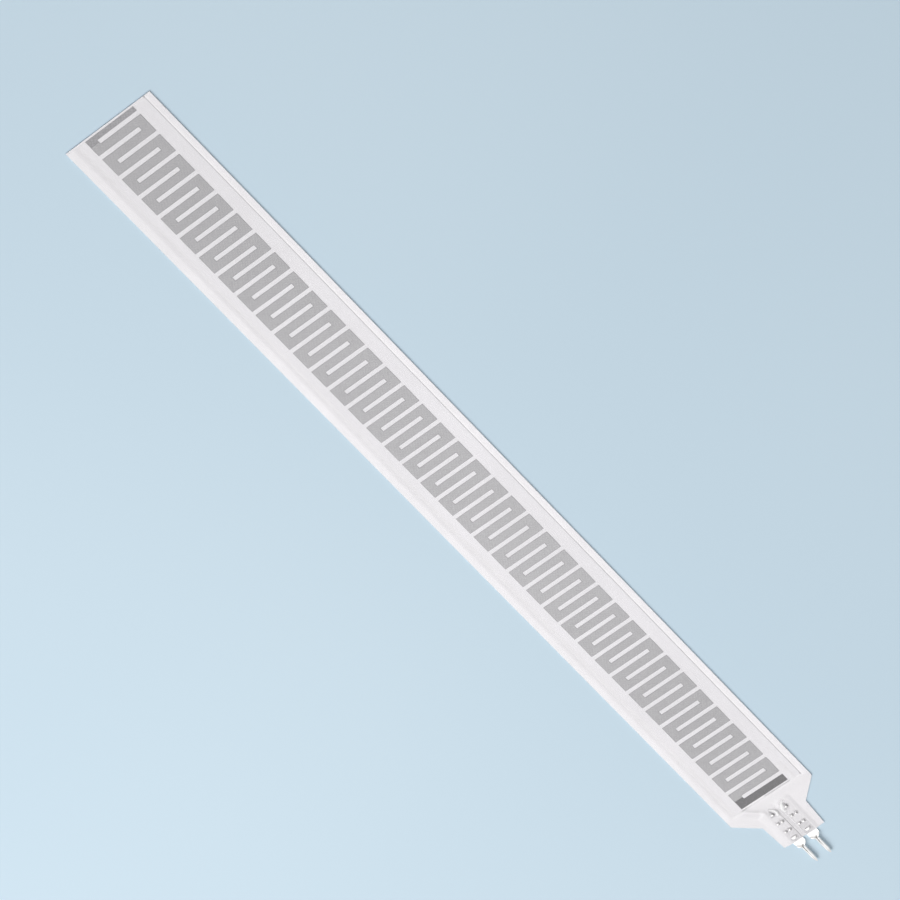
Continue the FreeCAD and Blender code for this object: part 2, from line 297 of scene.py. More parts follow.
def relief(x, y):
    # what shapes the cover film and the adhesive under it: the window, the fold and the teeth
    beside, shown = besideFold(x, y)
    crest = np.where(beside > 0, np.exp(-beside / drape["foldOuter"]), np.exp(beside / drape["foldInner"]))
    height = drape["foldHeight"] * crest * shown - drape["sag"] * (1 - rimShare(x, y))
    for side, centre in enumerate(terminalCentres()):
        lips = np.zeros_like(x)
        for kind, leg, offset, heading in toothRows:
            half, run, middle = toothKinds[kind]["width"] / 2, toothKinds[kind]["run"], centre + offset
            slit = segmentDistance(x, y, (leg, middle - half), (leg, middle + half))
            lips = np.maximum(lips, drape["lip"] * bell(slit - drape["lipAway"], drape["lipWide"]))
            end = leg + heading * (run + 2 * teeth["curl"] + drape["biteAway"])
            biteWide = drape["biteHalf"] + drape["biteShare"] * half
            long, wide = (x - end) / drape["biteLong"], (y - middle) / biteWide
            height = height - drape["bite"] * np.exp(-(long ** 2 + wide ** 2))
        pushed = drape["blister"] * smooth((x - drape["stripFront"]) / drape["blisterRise"])
        height = height + lips + pushed * bell(besideCrescent(x, y, side), drape["blisterWide"])
    return height


def adhesiveTop(x, y):
    rim, least = rimShare(x, y), stack["leastAdhesive"]
    full = stack["adhesive"] - stack["film"] - least
    return ground(x, y) + stack["film"] + least + full * rim + relief(x, y) * rim ** 0.5


def toned(x, y):
    # how grey the adhesive looks: where it thins away and over metal, and painted shade along the far rim
    # and the bar, in the fold and the hollow beside it, round the teeth and in the channel
    front = drape["stripFront"]
    # painted shade: grey lines along the inner edge of the far rim and along the bar's end
    rimShade = bell(y - plan["windowHalf"] - tones["shadeLineAway"], tones["rimShadeWide"])
    rimShade = tones["rimShade"] * rimShade * smooth((plan["windowEnd"] + tones["rimShadePast"] - x) / fades["rimShadeEnd"])
    barShade = bell(x - plan["windowEnd"] - tones["shadeLineAway"], tones["barShadeWide"])
    barEnd = plan["patternHalf"] + tones["barShadePast"]
    barShade = tones["barShade"] * barShade * smooth((barEnd - np.abs(y)) / fades["barShadeEnd"])
    tail = tones["tail"] - tones["tailFade"] * smooth((x - tones["tailFadeFrom"]) / tones["tailFadeLong"])
    tone = tones["thin"] * (1 - rimShare(x, y)) + smooth((x - plan["windowEnd"]) / fades["tail"]) * tail
    # painted shade of a soft hollow outside the fold
    hollow = segmentDistance(x, y, drape["hollowStart"], drape["hollowEnd"])
    tone = tone + tones["hollow"] * bell(hollow, tones["hollowWide"])
    # painted shade on the inner side of the fold, fading out before the terminals
    beside, shown = besideFold(x, y)
    shown = shown * (1 - smooth((x - front + tones["foldShort"]) / fades["foldEnd"]))
    inFold = np.exp(np.minimum(beside, 0) / tones["foldWide"]) * smooth(0.5 - beside / fades["foldEdge"])
    tone = tone + tones["fold"] * inFold * shown
    overMetal = smooth((x - front) / fades["metal"])
    for side, centre in enumerate(terminalCentres()):
        grey = tones["strip"][side] + tones["stripRear"][side] * smooth(x - tones["rearFrom"])
        within = (drape["stripHalf"] - np.abs(y - centre)) / fades["stripEdge"]
        tone = tone + grey * overMetal * smooth(within + 0.5)
        # painted shadow round the first tooth
        dark = tones["hook"] + tones["hookFront"] * smooth((tones["hookFrontEnd"] - x) / fades["hookFront"])
        tone = np.maximum(tone, dark * bell(besideHook(x, y, centre), tones["hookWide"]))
        for kind, leg, offset, heading in toothRows:
            ring = toothKinds[kind].get("ring")
            if ring:
                # a ring of painted shade round the tooth
                along = (x - leg - ring["ahead"]) * ring["squash"]
                away = np.hypot(along, y - centre - offset) - ring["size"]
                ringShade = ring["grey"] * bell(away, ring["wide"])
                if heading > 0:
                    ringShade = ringShade * smooth((x - leg) / fades["ringBack"])   # open behind the leg
                tone = np.maximum(tone, ringShade)
    # painted shade in the channel between the terminals
    channel = smooth((x - front - tones["channelFrom"]) / fades["channelStart"])
    channel = channel * smooth((tones["channelHalf"] - np.abs(y)) / fades["channelEdge"])
    tone = tone + (tones["channel"] + tones["channelFar"] * smooth(y / fades["channelAcross"])) * channel
    nearSide = smooth((x - tones["nearSideFrom"]) / fades["nearSide"]) * smooth(-y / fades["nearAcross"])
    tone = tone + tones["nearSide"] * nearSide
    return np.clip(np.maximum.reduce([rimShade, barShade, tone]), 0, 1)


def strained(x, y):
    # painted highlights, white on the cover film: the crescents, and the near edge of the far terminal
    mark = np.zeros_like(x)
    for side, centre in enumerate(terminalCentres()):
        white = bell(besideCrescent(x, y, side), tones["highlightWide"][side])
        mark = np.maximum(mark, white * (1 - bell(besideHook(x, y, centre), tones["highlightOffHook"])))
    edgeY = terminalCentres()[0] - drape["stripHalf"]
    edge = segmentDistance(x, y, (tones["edgeFrom"], edgeY), (plan["filmEnd"], edgeY))
    return np.maximum(mark, tones["edge"] * bell(edge, tones["edgeWide"]))


# How close the points of a slab stand: to each other on sloping edges, to corners and to edges. Points
# further from a hole than its reach aren't tested against it.
spacing = {"step": 0.14, "fromCorner": 0.03, "fromEdge": 0.045, "holeReach": 0.1}


def splitOutline(points, xs, ys, step):
    # edges along X or Y are divided where the rows inside meet them, other edges evenly
    line, least = [], spacing["fromCorner"]
    for start, end in zip(points, points[1:] + points[:1]):
        if start[1] == end[1]:
            low, high = sorted((start[0], end[0]))
            between = [(float(x), start[1]) for x in xs if low + least < x < high - least]
        elif start[0] == end[0]:
            low, high = sorted((start[1], end[1]))
            between = [(start[0], float(y)) for y in ys if low + least < y < high - least]
        else:
            count = math.ceil(math.dist(start, end) / step)
            shares = [i / count for i in range(1, count)]
            between = [tuple(a + (b - a) * share for a, b in zip(start, end)) for share in shares]
        line += [start] + sorted(between, key=lambda p: math.dist(p, start))
    return line


def insideOf(x, y, outline):
    inside = np.zeros(len(x), bool)
    for (x0, y0), (x1, y1) in zip(outline, outline[1:] + outline[:1]):
        if y0 != y1:
            crosses = (y0 > y) != (y1 > y)
            inside ^= crosses & (x < (x1 - x0) * (y - y0) / (y1 - y0) + x0)
    return inside


def clearOf(x, y, outline):
    clear = np.ones(len(x), bool)
    for start, end in zip(outline, outline[1:] + outline[:1]):
        clear &= segmentDistance(x, y, start, end) > spacing["fromEdge"]
    return clear


# A slab with a plan outline, holes and two height functions. xs and ys are the rows of points inside it.
def makeSlab(name, outline, holes, xs, ys, low, high, marks=None, step=spacing["step"]):
    loops = [splitOutline(line, xs, ys, step) for line in [outline] + holes]
    gx, gy = [a.ravel() for a in np.meshgrid(xs, ys)]
    keep = insideOf(gx, gy, outline) & clearOf(gx, gy, outline)
    for hole in holes:
        holeXs, reach = [p[0] for p in hole], spacing["holeReach"]
        index = np.nonzero(keep & (gx > min(holeXs) - reach) & (gx < max(holeXs) + reach))[0]
        bad = insideOf(gx[index], gy[index], hole) | ~clearOf(gx[index], gy[index], hole)
        keep[index[bad]] = False
    points, edges = [], []
    for loop in loops:
        first = len(points)
        points += loop
        edges += [(first + i, first + (i + 1) % len(loop)) for i in range(len(loop))]
    points += list(zip(gx[keep].tolist(), gy[keep].tolist()))
    flat, _, tris, _, _, _ = geometry.delaunay_2d_cdt([Vector(p) for p in points], edges, [], 0, 1e-7)
    flat = np.array([(v.x, v.y) for v in flat])
    tris = np.array([t for t in tris if len(t) == 3])
    mid = flat[tris].mean(axis=1)
    wanted = insideOf(mid[:, 0], mid[:, 1], outline)
    for hole in holes:
        wanted &= ~insideOf(mid[:, 0], mid[:, 1], hole)
    tris = tris[wanted]
    a, b, c = flat[tris[:, 0]], flat[tris[:, 1]], flat[tris[:, 2]]
    turned = (b[:, 0] - a[:, 0]) * (c[:, 1] - a[:, 1]) - (b[:, 1] - a[:, 1]) * (c[:, 0] - a[:, 0]) < 0
    tris[turned] = tris[turned][:, ::-1]
    used, tris = np.unique(tris, return_inverse=True)
    flat, tris = flat[used], tris.reshape(-1, 3)
    count = len(flat)
    x, y = flat[:, 0], flat[:, 1]
    verts = np.concatenate([np.column_stack([x, y, low(x, y)]), np.column_stack([x, y, high(x, y)])])
    directed = {(int(t[i]), int(t[(i + 1) % 3])) for t in tris for i in range(3)}
    walls = [(i, j, j + count, i + count) for i, j in sorted(directed) if (j, i) not in directed]
    faces = [tuple(int(i) for i in t[::-1]) for t in tris]
    faces += [tuple(int(i) + count for i in t) for t in tris] + walls
    slab = addMesh(name, (verts * mm).tolist(), faces)
    shadeSmooth(slab.data, sharp=40)
    for key, amount in (marks or {}).items():
        values = np.tile(amount(x, y), 2).astype(np.float32)
        slab.data.attributes.new(key, "FLOAT", "POINT").data.foreach_set("value", values)
    return slab


# Rows of points in the films: close together only where the film is shaped
rows = {
    "body": np.arange(-80.25, 65.0, 1.5),
    "tail": np.arange(65.6, 76.0, 0.10),
    "freeEnd": np.array([-80.93, -80.87, -80.83, -80.79, -80.75, -80.71, -80.67]),
    "rims": np.array([5.6, 5.8, 6.0, 6.12, 6.20, 6.26, 6.31, 6.35, 6.39, 6.43, 6.48, 6.54, 6.60, 6.66,
                      6.75, 6.9, 7.2]),
    "middle": np.arange(-3.95, 4.0, 0.10),
    "sides": np.array([4.15, 4.4, 4.65, 4.9, 5.15, 5.4]),
    "channel": np.array([0.23, 0.27, 0.33, 0.37, 0.42, 0.46]),
}
alongRows = np.unique(np.concatenate([rows["freeEnd"], rows["body"], rows["tail"]]).round(3))
acrossRows = [rows["middle"]]
acrossRows += [way * rows[part] for part in ("channel", "sides", "rims") for way in (1, -1)]
acrossRows = np.unique(np.concatenate(acrossRows).round(3))

filmSide = [(plan["freeEnd"], plan["bodyHalf"]), (plan["shoulder"], plan["bodyHalf"]),
            (plan["tailRoot"], plan["rootHalf"]), (plan["filmEnd"], plan["endHalf"])]
filmOutline = [(x, -y) for x, y in filmSide] + filmSide[::-1]


def slitOutlines():
    slits, thin = [], teeth["slitHalf"]
    for centre in terminalCentres():
        for kind, leg, offset, heading in toothRows:
            half, y = toothKinds[kind]["width"] / 2 + teeth["slitSlack"], centre + offset
            slits.append([(leg - thin, y - half), (leg + thin, y - half), (leg + thin, y + half),
                          (leg - thin, y + half)])
    return slits


def windowOutline():
    # opening of the adhesive, rounded at its corners; on the near side it starts where the fade does
    r, steps = plan["windowCorner"], plan["cornerSteps"]
    low, high = plan["nearFade"][0], plan["windowHalf"]
    corners = [(plan["windowStart"] + r, low + r, 180), (plan["windowEnd"] - r, low + r, 270),
               (plan["windowEnd"] - r, high - r, 0), (plan["windowStart"] + r, high - r, 90)]
    line = []
    for cx, cy, first in corners:
        angles = [math.radians(first + 90 / steps * i) for i in range(steps + 1)]
        line += [(round(cx + r * math.cos(a), 4), round(cy + r * math.sin(a), 4)) for a in angles]
    return line


def overGround(height):
    return lambda x, y: ground(x, y) + height


def overRelief(height):
    # follows the relief too, as the cover film and what is printed on it do
    return lambda x, y: ground(x, y) + relief(x, y) + height


slits, perSide = slitOutlines(), len(toothRows)
film, printed, coverLow, hair = stack["film"], stack["print"], stack["coverLow"], stack["hair"]

baseFilm = makeSlab("baseFilm", filmOutline, slits, alongRows, acrossRows, overGround(0), overGround(film))
spacerFrame = makeSlab("spacerFrame", filmOutline, [windowOutline()] + slits, alongRows, acrossRows,
                       overGround(film + hair), adhesiveTop, {"toned": toned})
coverFilm = makeSlab("coverFilm", filmOutline, slits, alongRows, acrossRows,
                     overRelief(coverLow + hair), overRelief(stack["coverHigh"]), {"strained": strained})
print("films laid", len(baseFilm.data.polygons), len(coverFilm.data.polygons))


# Silver leads: trapezoids from the last finger to the strips, then a pad along each strip
leads = {
    "gap": 0.2,          # half the gap where the two leave the last finger
    "padInner": 0.49, "padOuter": 2.05, "padEnd": 75.9,
    "near": 4.5, "far": 5.4, "turn": 66.4, "wide": 0.9,
    "from": 62.7, "barEdge": 64.2,
    "rowsX": (62.8, 76.0, 0.10), "rowsY": (-5.35, 5.4, 0.10),
}


def leadOutlines():
    front, end, bar, half = drape["stripFront"], leads["padEnd"], leads["barEdge"], plan["patternHalf"]
    inner, outer, near, far = [leads[part] for part in ("padInner", "padOuter", "near", "far")]
    turn, start, gap = leads["turn"], leads["from"], leads["gap"]
    lower = [(plan["barEnd"], -half), (front, -outer), (end, -outer), (end, -inner), (front, -inner),
             (plan["barEnd"], -gap)]
    upper = [(start, half), (bar, half), (bar, near), (turn, near), (turn, gap), (front, inner),
             (end, inner), (end, outer), (front, outer), (turn + leads["wide"], near), (turn, far),
             (start, far)]
    return lower, upper


leadXs, leadYs = np.arange(*leads["rowsX"]).round(3), np.arange(*leads["rowsY"]).round(3)
lowerOutline, upperOutline = leadOutlines()
lowerLead = makeSlab("lowerSilverLead", lowerOutline, slits[perSide:], leadXs, leadYs,
                     overGround(film + hair), overGround(film + printed))
upperLead = makeSlab("upperSilverLead", upperOutline, slits[:perSide], leadXs, leadYs,
                     overRelief(coverLow - printed), overRelief(coverLow - hair), {"toned": toned})
print("leads laid")


def startMaterial(name):
    material = bpy.data.materials.new(name)
    material.use_nodes = True
    tree = material.node_tree
    tree.nodes.clear()
    return material, tree, addNode(tree, "ShaderNodeTexCoord", {}).outputs["Object"]


def finishMaterial(tree, settings):
    surface = addNode(tree, "ShaderNodeBsdfPrincipled", settings)
    addNode(tree, "ShaderNodeOutputMaterial", {"Surface": surface})


# Each material has clouds of two colours, and a grain that gives it its sheen and relief. Clouds and grain
# have a size in millimetres and a detail. The smaller drawn is, the longer the grain runs along the strip.
finishes = {
    "milkyPet": {"clouds": (9.0, 2.0), "colours": ("#E9E7EA", "#EFEDF0"), "grain": (0.5, 3.0),
                 "drawn": 0.12, "rough": (0.34, 0.46), "relief": (0.4, 0.004),
                 # drift: darker towards the free end, painted shade of the light falling off there
                 "drift": [(0.0, 0.875), (0.5, 1.0), (1.0, 0.99)]},
    "clearPet": {"clouds": (6.0, 2.0), "colours": ("#F1EFF2", "#F6F4F7"), "grain": (0.3, 4.0),
                 "drawn": 0.1, "rough": (0.26, 0.38), "relief": (0.35, 0.004),
                 # haze: how opaque the clear film is, and where it carries its painted white highlights
                 "haze": (0.08, 0.92), "highlightWhite": "#FEFEFE"},
    "tape": {"clouds": (4.0, 3.0), "colours": ("#F3F1F3", "#F8F6F8"), "grain": (0.25, 3.0),
             "drawn": 1.0, "rough": (0.5, 0.65), "relief": (0.5, 0.006),
             # drift: darker towards the free end, painted shade of the light falling off there
             "drift": [(0.0, 0.92), (0.35, 1.0), (1.0, 1.0)]},
    "silver": {"clouds": (0.2, 3.0), "colours": ("#F2F0F2", "#F7F5F7"), "grain": (0.2, 3.0),
               "drawn": 1.0, "rough": (0.42, 0.58), "relief": (0.5, 0.004), "metallic": 0.04},
    "tin": {"clouds": (0.35, 3.0), "colours": ("#ECEBEA", "#F7F6F5"), "grain": (0.12, 3.0),
            "drawn": 0.18, "rough": (0.36, 0.50), "relief": (0.5, 0.004), "metallic": 0.80,
            "tones": [(0.0, 0.66), (0.20, 0.76), (0.46, 0.76), (0.51, 0.92), (0.55, 0.92), (0.58, 0.60),
                      (0.62, 1.0), (0.73, 0.98), (0.78, 0.84), (1.0, 0.86)]},   # teeth, neck, pin: the teeth darker as painted shade, with a painted highlight and then shadow across the broad tooth
    "noiseRange": (0.3, 0.7),   # nearly all values of a noise lie in it
    "filmIor": 1.57,        # of PET
    "marked": "#8E8D90",    # the full grey of the adhesive's marks and painted shade
}


def perSize(sizeMm):
    # scale of a noise whose spots are about sizeMm across
    return 0.5 / (sizeMm * mm)


def clouded(tree, place, finish):
    # two close colours in soft clouds
    (size, detail), (first, last) = finish["clouds"], finishes["noiseRange"]
    clouds = addNode(tree, "ShaderNodeTexNoise", {"Vector": place, "Scale": perSize(size), "Detail": detail})
    low, high = [linear(colour) for colour in finish["colours"]]
    return addNode(tree, "ShaderNodeValToRGB", {"Fac": clouds, "stops": [(first, low), (last, high)]})


def sheenAndRelief(tree, pattern, finish):
    # both follow one pattern; relief is a strength and a depth in millimetres
    (smoothest, roughest), (strength, depth) = finish["rough"], finish["relief"]
    first, last = finishes["noiseRange"]
    sheen = addNode(tree, "ShaderNodeMapRange", {"Value": pattern, "From Min": first, "From Max": last,
                                                 "To Min": smoothest, "To Max": roughest})
    bump = addNode(tree, "ShaderNodeBump", {"Height": pattern, "Strength": strength, "Distance": depth * mm})
    return {"Roughness": sheen, "Normal": bump}


def grained(tree, place, finish):
    size, detail = finish["grain"]
    drawn = addNode(tree, "ShaderNodeMapping", {"Vector": place, "Scale": (finish["drawn"], 1.0, 1.0)})
    grain = addNode(tree, "ShaderNodeTexNoise", {"Vector": drawn, "Scale": perSize(size), "Detail": detail})
    return sheenAndRelief(tree, grain, finish)


def drifted(tree, place, colour, stops, start=-81.0, end=67.0):
    # a colour that darkens and lightens along the strip, by stops that count from start to end
    along = addNode(tree, "ShaderNodeSeparateXYZ", {0: place})
    share = addNode(tree, "ShaderNodeMapRange",
                    {"Value": along, "From Min": start * mm, "From Max": end * mm})
    greys = [(at, (level, level, level, 1.0)) for at, level in stops]
    tone = addNode(tree, "ShaderNodeValToRGB", {"Fac": share, "stops": greys})
    return addNode(tree, "ShaderNodeMix", {"data_type": "RGBA", "blend_type": "MULTIPLY", "Factor": 1.0,
                                           "A": colour, "B": tone})


def greyed(tree, colour):
    # a colour, greyed by the adhesive's marks and painted shade, which the paste over it shows too
    grey = addNode(tree, "ShaderNodeAttribute", {"attribute_name": "toned"}).outputs["Fac"]
    return addNode(tree, "ShaderNodeMix", {"data_type": "RGBA", "Factor": grey, "A": colour,
                                           "B": linear(finishes["marked"])})


def makeMilkyPet():
    # white-filled PET film, stretched along its length: milky, satin, with faint clouds and drawn streaks
    material, tree, place = startMaterial("milkyPetFilm")
    finish = finishes["milkyPet"]
    colour = drifted(tree, place, clouded(tree, place, finish), finish["drift"])
    finishMaterial(tree, {"Base Color": colour, "IOR": finishes["filmIor"], **grained(tree, place, finish)})
    return material


def makeClearPet():
    # matt-coated clear PET: a thin veil over the print, softly glossy, finely marked, with white painted
    # highlights
    material, tree, place = startMaterial("clearPetFilm")
    finish = finishes["clearPet"]
    highlight = addNode(tree, "ShaderNodeAttribute", {"attribute_name": "strained"}).outputs["Fac"]
    clear, white = finish["haze"]
    hazy = addNode(tree, "ShaderNodeMapRange", {"Value": highlight, "To Min": clear, "To Max": white})
    whiter = addNode(tree, "ShaderNodeMix",
                     {"data_type": "RGBA", "Factor": highlight, "A": clouded(tree, place, finish),
                      "B": linear(finish["highlightWhite"])})
    finishMaterial(tree, {"Base Color": whiter, "IOR": finishes["filmIor"], "Alpha": hazy,
                          **grained(tree, place, finish)})
    return material


def makeAcrylicTape():
    # white acrylic transfer tape: brighter than the film, matt, grey where it thins, with painted shade in
    # lines, the fold and round the teeth
    material, tree, place = startMaterial("acrylicAdhesiveTape")
    finish = finishes["tape"]
    colour = drifted(tree, place, greyed(tree, clouded(tree, place, finish)), finish["drift"])
    finishMaterial(tree, {"Base Color": colour, **grained(tree, place, finish)})
    return material


# The two inks: colours of the mottle and of the denser edge, and how their tone drifts along the strip
inks = {
    "carbon": {"dark": "#88878A", "light": "#A6A5A8", "edge": "#8A898C",
               "rough": (0.64, 0.76), "relief": (0.15, 0.005),
               "drift": [(0.0, 0.85), (0.04, 0.81), (0.96, 0.205), (1.0, 0.240)]},
    "pale": {"dark": "#AFAEB0", "light": "#BDBCBE", "edge": "#9C9B9D",
             "rough": (0.59, 0.71), "relief": (0.15, 0.005),
             # drift: darker towards the free end and less so towards the bar, painted shade of the light
             # falling off there
             "drift": [(0.0, 0.765), (0.14, 0.79), (0.3, 0.885), (0.62, 0.975), (0.88, 0.85), (1.0, 0.885)]},
    "screen": 0.38,   # threads of the printing screen are finer than this; drawn coarser, so that they show
    "spot": 0.20,     # and so are the spots of the paste
    "cloud": 2.5,     # spots this wide lie under both
    "weaveShare": 0.4, "cloudShare": 0.2,
    "contrast": (0.34, 0.66),   # where the mottle reaches its two colours
    "turn": 32,       # degrees, of the screen against the strip
    "waveLong": 0.314,   # metres from band to band in a wave texture of scale 1
}


def makeInk(name, ink):
    # screen-printed resistive paste: matt grey, speckled by the screen's weave, denser along its edges
    material, tree, place = startMaterial(name)
    turned = addNode(tree, "ShaderNodeMapping",
                     {"Vector": place, "Rotation": (0, 0, math.radians(inks["turn"]))})
    bands = {"Vector": turned, "Scale": inks["waveLong"] / (inks["screen"] * mm)}
    warp, weft = [addNode(tree, "ShaderNodeTexWave", {"bands_direction": way, **bands}).outputs["Fac"]
                  for way in ("X", "Y")]
    weave = addNode(tree, "ShaderNodeMix", {"data_type": "FLOAT", "Factor": 0.5, "A": warp, "B": weft})
    spots, cloud = [addNode(tree, "ShaderNodeTexNoise",
                            {"Vector": place, "Scale": perSize(inks[size]), "Detail": 1.0})
                    for size in ("spot", "cloud")]
    speckle = addNode(tree, "ShaderNodeMix", {"data_type": "FLOAT", "Factor": inks["weaveShare"],
                                              "A": spots, "B": weave})
    mottle = addNode(tree, "ShaderNodeMix", {"data_type": "FLOAT", "Factor": inks["cloudShare"],
                                             "A": speckle, "B": cloud})
    low, high = inks["contrast"]
    stops = [(low, linear(ink["dark"])), (high, linear(ink["light"]))]
    colour = addNode(tree, "ShaderNodeValToRGB", {"Fac": mottle, "stops": stops})
    edge = addNode(tree, "ShaderNodeAttribute", {"attribute_name": "denserInk"}).outputs["Fac"]
    dense = addNode(tree, "ShaderNodeMix",
                    {"data_type": "RGBA", "Factor": edge, "A": colour, "B": linear(ink["edge"])})
    finishMaterial(tree, {"Base Color": drifted(tree, place, dense, ink["drift"]),
                          **sheenAndRelief(tree, mottle, ink)})
    return material


def makeSilverPaste():
    # cured silver flake paste under the clear film: near white and matt, greyed like the adhesive beside it,
    # painted shade included
    material, tree, place = startMaterial("printedSilverPaste")
    finish = finishes["silver"]
    colour = greyed(tree, clouded(tree, place, finish))
    finishMaterial(tree, {"Base Color": colour, "Metallic": finish["metallic"],
                          **grained(tree, place, finish)})
    return material


def makeTinPlate():
    # matt tin plate on phosphor bronze: near-white metal, drawn along the pin, with painted shade on the
    # teeth
    material, tree, place = startMaterial("tinPlatedBronze")
    finish = finishes["tin"]
    colour = drifted(tree, place, clouded(tree, place, finish), finish["tones"], 68.0, 81.0)
    finishMaterial(tree, {"Base Color": colour, "Metallic": finish["metallic"],
                          **grained(tree, place, finish)})
    return material


milkyPet = makeMilkyPet()
clearPet = makeClearPet()
acrylicTape = makeAcrylicTape()
carbonInk = makeInk("carbonResistiveInk", inks["carbon"])
paleInk = makeInk("paleResistiveInk", inks["pale"])
silverPaste = makeSilverPaste()
tinPlate = makeTinPlate()
print("materials made")


def startTree(name, sizes):
    # a node tree for a mesh, with one named input for each size
    tree = bpy.data.node_groups.new(name, "GeometryNodeTree")
    for inputName, kind in sizes.items():
        tree.interface.new_socket(inputName, in_out="INPUT", socket_type="NodeSocket" + kind)
    tree.interface.new_socket("Geometry", in_out="OUTPUT", socket_type="NodeSocketGeometry")
    return tree, addNode(tree, "NodeGroupInput", {}).outputs


def endTree(tree, grown, material):
    # realized, brought from millimetres to metres, and given its material
    real = addNode(tree, "GeometryNodeRealizeInstances", {"Geometry": grown})
    scaled = addNode(tree, "GeometryNodeTransform", {"Geometry": real, "Scale": (mm, mm, mm)})
    dressed = addNode(tree, "GeometryNodeSetMaterial", {"Geometry": scaled, "Material": material})
    addNode(tree, "NodeGroupOutput", {"Geometry": dressed})
    return tree


def growMesh(name, tree, values, carrier=None):
    # runs a tree on an object and keeps the result as a plain mesh
    obj = addObject(name, carrier or bpy.data.meshes.new(name))
    modifier = obj.modifiers.new("grow", "NODES")
    modifier.node_group = tree
    for item in tree.interface.items_tree:
        if item.item_type == "SOCKET" and item.in_out == "INPUT" and item.name in values:
            modifier[item.identifier] = values[item.name]
    bpy.context.view_layer.update()
    mesh = bpy.data.meshes.new_from_object(obj.evaluated_get(bpy.context.evaluated_depsgraph_get()))
    obj.modifiers.clear()
    obj.data = mesh
    mesh.name = name
    return obj


# Resistive tracks: fingers joined in turn at one end and the other
track = {
    "slotStep": 2.0, "slotWidth": 0.67, "linkWidth": 1.5,
    "slotCount": 73, "lastSlot": 64.48,   # centre of the slot next to the bar
    "corner": 0.05, "cornerSteps": 4,     # the ink draws round the slots' closed ends
    "border": 0.08, "raised": 0.0008,     # denser ink along every edge
    "paleStart": -79.52, "paleEnd": 64.48,
    "hiddenInset": 0.12,                  # the dark print under the pale one stays back from its edges
    "overlap": 0.05,                      # the bare fingers run on under the pale print
    "pastEdge": 2.0,                      # a slot is cut from this far outside the plate
}


# A plate with slots cut in from its two sides in turn, and a border band that follows its edge
def makeTrackTree():
    tree, given = startTree("printedTrack", {
        "Plate Size": "Vector", "Plate Middle": "Vector", "Slot Width": "Float", "Slot Length": "Float",
        "Slot Middle": "Vector", "Last Slot": "Vector", "Slot Step": "Vector", "Slot Count": "Int",
        "Corner": "Float", "Border": "Float", "Border Height": "Float", "Border Middle": "Vector",
        "Ink": "Material"})
    plate = addNode(tree, "GeometryNodeMeshCube", {"Size": given["Plate Size"]})
    placed = addNode(tree, "GeometryNodeTransform",
                     {"Geometry": plate, "Translation": given["Plate Middle"]})
    shape = addNode(tree, "GeometryNodeCurvePrimitiveQuadrilateral",
                    {"Width": given["Slot Width"], "Height": given["Slot Length"]})
    shifted = addNode(tree, "GeometryNodeTransform",
                      {"Geometry": shape, "Translation": given["Slot Middle"]})
    rounded = addNode(tree, "GeometryNodeFilletCurve",
                      {"mode": "POLY", "Count": track["cornerSteps"], "Curve": shifted,
                       "Radius": given["Corner"]})
    riser = addNode(tree, "GeometryNodeCurvePrimitiveLine", {"Start": (0, 0, -1), "End": (0, 0, 1)})
    cutter = addNode(tree, "GeometryNodeCurveToMesh",
                     {"Curve": riser, "Profile Curve": rounded, "Fill Caps": True})
    places = addNode(tree, "GeometryNodeMeshLine",
                     {"mode": "OFFSET", "Count": given["Slot Count"], "Start Location": given["Last Slot"],
                      "Offset": given["Slot Step"]})
    index = addNode(tree, "GeometryNodeInputIndex", {})
    odd = addNode(tree, "ShaderNodeMath", {"operation": "MODULO", 0: index, 1: 2.0})
    halfTurn = addNode(tree, "ShaderNodeMath", {"operation": "MULTIPLY", 0: odd, 1: math.pi})
    turn = addNode(tree, "ShaderNodeCombineXYZ", {2: halfTurn})
    spread = addNode(tree, "GeometryNodeInstanceOnPoints",
                     {"Points": places, "Instance": cutter, "Rotation": turn})
    cutters = addNode(tree, "GeometryNodeRealizeInstances", {"Geometry": spread})
    cut = addNode(tree, "GeometryNodeMeshBoolean",
                  {"operation": "DIFFERENCE", "Mesh 1": placed, "Mesh 2": cutters})
    up = addNode(tree, "ShaderNodeSeparateXYZ",
                 {0: addNode(tree, "GeometryNodeInputNormal", {})}).outputs[2]
    facesUp = addNode(tree, "ShaderNodeMath", {"operation": "GREATER_THAN", 0: up, 1: 0.9})
    top = addNode(tree, "GeometryNodeSeparateGeometry",
                  {"domain": "FACE", "Geometry": cut, "Selection": facesUp})
    beside = addNode(tree, "GeometryNodeInputMeshEdgeNeighbors", {})
    onRim = addNode(tree, "ShaderNodeMath", {"operation": "COMPARE", 0: beside, 1: 1.0})
    rim = addNode(tree, "GeometryNodeMeshToCurve", {"Mesh": top, "Selection": onRim})
    band = addNode(tree, "GeometryNodeCurvePrimitiveQuadrilateral",
                   {"Width": given["Border"], "Height": given["Border Height"]})
    lowered = addNode(tree, "GeometryNodeTransform",
                      {"Geometry": band, "Translation": given["Border Middle"]})
    border = addNode(tree, "GeometryNodeCurveToMesh",
                     {"Curve": rim, "Profile Curve": lowered, "Fill Caps": True})
    marked = addNode(tree, "GeometryNodeStoreNamedAttribute",
                     {"data_type": "FLOAT", "domain": "POINT", "Geometry": border, "Name": "denserInk",
                      "Value": 1.0})
    both = addNode(tree, "GeometryNodeJoinGeometry", {"Geometry": cut})
    tree.links.new(marked.outputs[0], both.inputs["Geometry"])
    return endTree(tree, both, given["Ink"])


trackTree = makeTrackTree()


